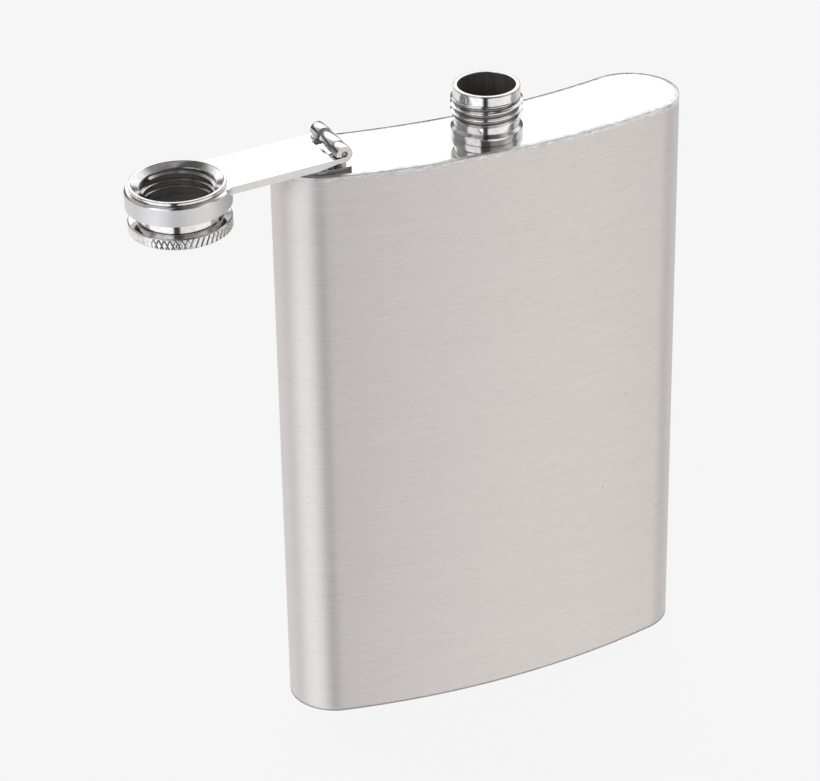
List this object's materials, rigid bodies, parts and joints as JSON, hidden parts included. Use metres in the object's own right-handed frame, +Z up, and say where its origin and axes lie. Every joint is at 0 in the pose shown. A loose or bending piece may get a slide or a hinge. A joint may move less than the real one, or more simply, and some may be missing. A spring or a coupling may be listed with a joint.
{
  "type": "hip flask",
  "caption": "Curved pocket hip flask in welded steel with a threaded neck and a knurled screw cap kept on by a hinged arm.",
  "frame": {"origin": "on the neck's axis at the underside of the base", "axes": "+X along the width, away from the hinge; -Y out of the convex face and +Y out of the hollow face; +Z up along the neck's axis"},
  "size_m": [0.129, 0.0259, 0.1451],
  "materials": {
    "brushed_body": "fine horizontal satin brushing",
    "polished_plate": "mirror polish",
    "ground_weld": "ground matt",
    "polished_fittings": "bright polish",
    "pin_steel": "plain drawn wire",
    "liner": "soft matt silicone"
  },
  "bodies": {
    "flask": {"body_shell": "brushed_body", "side_seam": "ground_weld", "top_plate": "polished_plate", "bottom_plate": "brushed_body", "top_weld": "ground_weld", "bottom_weld": "ground_weld", "neck": "polished_fittings", "neck_weld": "ground_weld", "hinge_leaf": "polished_fittings", "leaf_spot_welds": "pin_steel"},
    "arm": {"cap_arm": "polished_fittings", "hinge_pin": "pin_steel"},
    "cap": {"cap_shell": "polished_fittings", "cap_insert": "polished_fittings", "cap_seal": "liner"}
  },
  "joints": [
    {"name": "arm_swing", "type": "hinge", "parent": "flask", "child": "arm", "pos_m": [-0.0352, 0, 0.1381], "axis": [0, 1, 0], "range_deg": [0, 181.5]},
    {"name": "cap_spin", "type": "hinge", "parent": "arm", "child": "cap", "pos_m": [-0.07039, 0, 0.13718], "axis": [-0.0262, 0, 0.9997], "continuous": true}
  ]
}
